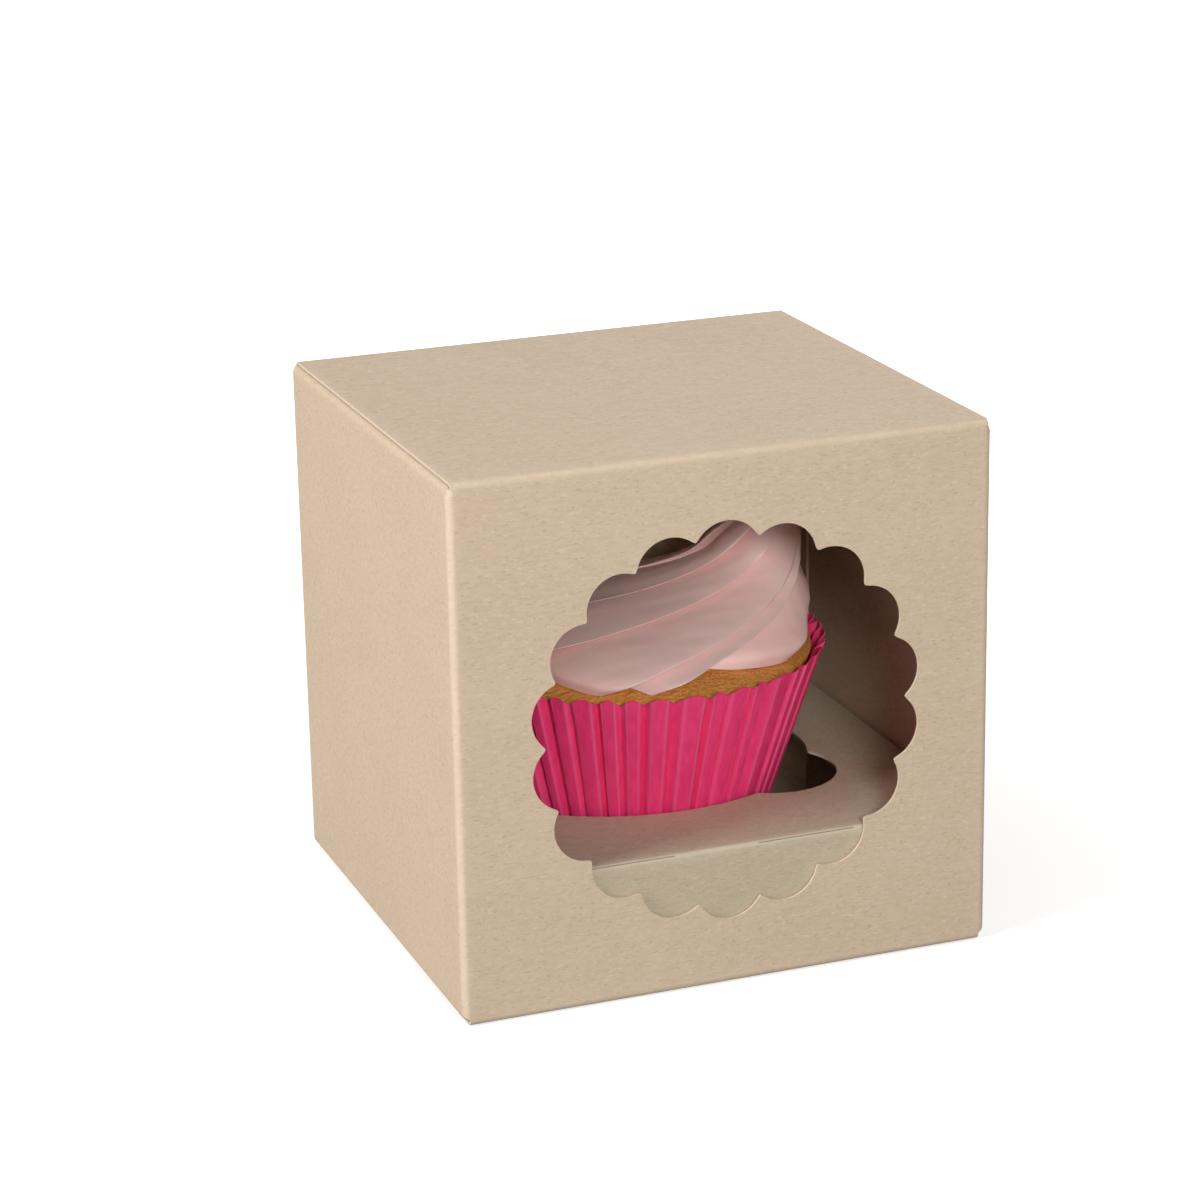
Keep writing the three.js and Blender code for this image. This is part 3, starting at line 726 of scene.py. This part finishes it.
# Cake: a solid of revolution, foot to dome, with an uneven crumb
def cakeSolid():
    angle = np.linspace(0, fullTurn, 241)[:-1][:, None]
    rise = np.linspace(0, 1, 10)
    domed = np.cos(np.linspace(0, np.pi / 2, 26))[1:]
    foot, footRadius, domeRadii = crumb["foot"], crumb["footRadius"], crumb["edgeRadius"] * domed
    sideRadii = footRadius + (crumb["edgeRadius"] - footRadius) * rise
    radius = np.concatenate([[0, footRadius * 0.5], sideRadii, domeRadii])
    height = np.concatenate([[foot] * 2, foot + (crumb["edge"] - foot) * rise, domeHeight(domeRadii)])
    x, y = radius * np.cos(angle), radius * np.sin(angle)
    above = radius > footRadius + crumb["smoothFoot"]
    rough = crumb["rough"] * unevenness(x, y, height, 3, 16, 3.0) * above
    z = height + np.where(radius > crumb["smoothTop"], rough, 0)
    return closedGrid(centre + np.stack([x, y, np.broadcast_to(z, x.shape)], 2))


# A single closed surface on a grid that is closed round i and ends in a pole at both ends of j
def closedGrid(points):
    count, rows = points.shape[:2]
    i, j = np.meshgrid(np.arange(count), np.arange(rows - 1), indexing="ij")
    i, j = i.ravel(), j.ravel()
    here, beside = i * rows + j, (i + 1) % count * rows + j
    faces = np.stack([here, beside, beside + 1, here + 1], 1)
    return {"points": points.reshape(-1, 3), "faces": faces, "cut": np.zeros(len(faces))}


makePiece("cakeCrumb", [cakeSolid()], bakedCake, "carton", ["cake"], sharpDegrees=180)

swirl = {
    "radius": 32.2, "height": 28.0, "edgeShare": 0.945, "gap": 0.3, "steps": 44, "depth": 0.32, "twist": 2.0,
    "crests": (189, 241, 257, 314, 358, 404, 456, 504), "evenBand": 45.0,
    "lean": 24.0, "leanDirection": -0.37, "fall": 0.10, "fullness": 1.9,
    "lip": 0.03, "lipWidth": 0.18, "lipSteepness": 4, "hand": 0.3, "handFrom": 0.06,
    "level": (0, 0.07, 0.16, 0.28, 0.44, 0.57, 0.74, 0.88, 1.0),
    "width": (0.945, 1.0, 0.93, 0.73, 0.46, 0.32, 0.24, 0.13, 0.0),
    "shift": (0, 0, 0.08, 0.36, 0.69, 0.85, 0.94, 0.99, 1.0),
}


# Piped swirl: each level is a ring whose radius swells in sharp ridges. The ridges stand at uneven
# headings and turn as they rise, and the ring's middle moves over, so the peak stands above one side.
# After its crest a ridge falls off steeply into a narrow valley, swells out again as a full round band,
# and ends in a raised lip.
def frostingSolid():
    crests = np.array([*swirl["crests"], swirl["crests"][0] + 360.0])
    ridge = np.arange((len(crests) - 1) * swirl["steps"]) / swirl["steps"]
    place = ridge % 1
    heading = np.radians(np.interp(ridge, np.arange(len(crests)), crests))
    depth = swirl["depth"] * np.sqrt(np.diff(crests)[ridge.astype(int)] / swirl["evenBand"])
    under = np.array([0, 0.3, 0.6, 0.85, 1.0])
    climb = np.linspace(0, 1, 150) ** 1.15
    rise = np.concatenate([np.zeros(len(under) - 1), climb])
    share = np.concatenate([under[:-1], np.ones(len(climb))])
    width, shift = (smoothThrough(swirl["level"], swirl[key], rise) for key in ("width", "shift"))
    past = np.clip((place - swirl["fall"]) / (1 - swirl["fall"]), 0, 1)
    fallen = easeBetween(0, swirl["fall"], place) * (1 - past) ** swirl["fullness"]
    toCrest = np.minimum(place * swirl["lipSteepness"], 1 - place)
    swell = 1 - swirl["lip"] - depth * fallen + swirl["lip"] * np.exp(-((toCrest / swirl["lipWidth"]) ** 2))
    angle = heading[:, None] + swirl["twist"] * rise[None]
    radius = swirl["radius"] * np.maximum(width, 0)[None] * share[None] * swell[:, None]
    lean = swirl["lean"] * shift
    edge = swirl["radius"] * swirl["edgeShare"]
    seat = domeHeight(edge * share[None] * swell[:, None]) + swirl["gap"]
    peak = domeHeight(edge) + swirl["gap"] + swirl["height"]
    x = lean * np.cos(swirl["leanDirection"]) + radius * np.cos(angle)
    y = lean * np.sin(swirl["leanDirection"]) + radius * np.sin(angle)
    z = seat + (peak - seat) * rise[None]
    hand = swirl["hand"] * unevenness(x, y, z, 11, 10, 9.0) * easeBetween(0, swirl["handFrom"], rise)[None]
    return closedGrid(centre + np.stack([x + hand * np.cos(angle), y + hand * np.sin(angle), z], 2))


makePiece(
    "frostingSwirl", [frostingSolid()], buttercream, "carton", ["frosting"], sharpDegrees=180,
)

studio = {
    "floorColour": (0.30, 0.30, 0.30, 1), "shownFloor": (0.60, 0.60, 0.60, 1), "worldStrength": 0.2,
    "floorHalf": 4.0, "glowFrom": 0.06, "glowTo": 0.30,  # metres
    "nearGlow": 0.55, "farGlow": 1.3,
    "lens": 106.849, "camera": (-211.3, -553.95, 246.28), "aim": (-5.908, 0.0, 55.521), "roll": -1.121,
    "lampAim": (0, 0, 0.045),
    # Place in metres, side in metres, power in watts
    "lamps": {
        "leftLamp": ((-1.15, -0.18, 0.61), 0.5, 13.2),
        "frontLamp": ((-0.145, -0.83, 0.36), 0.2, 4.65),
        "backLamp": ((0.75, 1.05, 0.47), 0.6, 10.2),
    },
}


# 1 for what the camera sees directly or in a reflection, 0 for the light that falls on things
def seenDirectly(tree):
    path = addNode(tree, "LightPath")
    rays = {0: path.outputs["Is Camera Ray"], 1: path.outputs["Is Glossy Ray"]}
    return addNode(tree, "Math", rays, operation="MAXIMUM").outputs[0]


# White floor: it glows more away from the box, so that the background is white and the contact shadow stays
def addFloor():
    mesh = bpy.data.meshes.new("floor")
    half = studio["floorHalf"]
    corners = [(-half, -half, 0), (half, -half, 0), (half, half, 0), (-half, half, 0)]
    mesh.from_pydata(corners, [], [(0, 1, 2, 3)])
    floor = bpy.data.objects.new("floor", mesh)
    bpy.context.scene.collection.objects.link(floor)
    finish = bpy.data.materials.new("whiteFloor")
    finish.use_nodes = True
    tree = finish.node_tree
    tree.nodes.clear()
    plain = addNode(tree, "BsdfDiffuse", {"Color": studio["floorColour"]}).outputs[0]
    place = addNode(tree, "TexCoord").outputs["Object"]
    away = addNode(tree, "VectorMath", {0: place}, operation="LENGTH").outputs["Value"]
    limits = {"From Min": studio["glowFrom"], "From Max": studio["glowTo"]}
    strengths = {"To Min": studio["nearGlow"], "To Max": studio["farGlow"]}
    strength = addNode(tree, "MapRange", {"Value": away, **limits, **strengths}).outputs[0]
    glow = addNode(tree, "Emission", {"Strength": strength}).outputs[0]
    pale = addNode(tree, "BsdfDiffuse", {"Color": studio["shownFloor"]}).outputs[0]
    shown = addNode(tree, "AddShader", {0: pale, 1: glow}).outputs[0]
    mixed = addNode(tree, "MixShader", {0: seenDirectly(tree), 1: plain, 2: shown}).outputs[0]
    tree.links.new(mixed, addNode(tree, "OutputMaterial").inputs["Surface"])
    mesh.materials.append(finish)


# World: white for the camera and in reflections, dim as a light
def addWorld():
    world = bpy.data.worlds.new("studioWorld")
    bpy.context.scene.world = world
    world.use_nodes = True
    tree = world.node_tree
    tree.nodes.clear()
    dim = addNode(tree, "Background", {"Color": (1, 1, 1, 1), "Strength": studio["worldStrength"]}).outputs[0]
    white = addNode(tree, "Background", {"Color": (1, 1, 1, 1), "Strength": 1.0}).outputs[0]
    mixed = addNode(tree, "MixShader", {0: seenDirectly(tree), 1: dim, 2: white}).outputs[0]
    tree.links.new(mixed, addNode(tree, "OutputWorld").inputs["Surface"])


# A square lamp that faces the box
def addLamp(name, place, size, power):
    lamp = bpy.data.lights.new(name, "AREA")
    lamp.energy, lamp.size, lamp.shape = power, size, "SQUARE"
    holder = bpy.data.objects.new(name, lamp)
    bpy.context.scene.collection.objects.link(holder)
    holder.location = place
    holder.rotation_mode = "QUATERNION"
    holder.rotation_quaternion = (Vector(studio["lampAim"]) - Vector(place)).to_track_quat("-Z", "Y")


# Camera: looks from its place to the aim point, then rolls about that line
def addCamera():
    data = bpy.data.cameras.new("view")
    data.sensor_width, data.sensor_fit, data.lens = 36, "HORIZONTAL", studio["lens"]
    data.clip_start, data.clip_end = 0.01, 20
    place, aim = Vector(studio["camera"]) * mm, Vector(studio["aim"]) * mm
    forward = (aim - place).normalized()
    right = forward.cross(Vector((0, 0, 1))).normalized()
    up = right.cross(forward)
    roll = np.radians(studio["roll"])
    right, up = right * np.cos(roll) + up * np.sin(roll), up * np.cos(roll) - right * np.sin(roll)
    camera = bpy.data.objects.new("view", data)
    camera.matrix_world = Matrix.Translation(place) @ Matrix((right, up, -forward)).transposed().to_4x4()
    bpy.context.scene.collection.objects.link(camera)
    bpy.context.scene.camera = camera


addFloor()
addWorld()
for name, (place, side, power) in studio["lamps"].items():
    addLamp(name, place, side, power)
addCamera()
bpy.context.scene.view_settings.view_transform = "Standard"
print("stage, light and camera made")
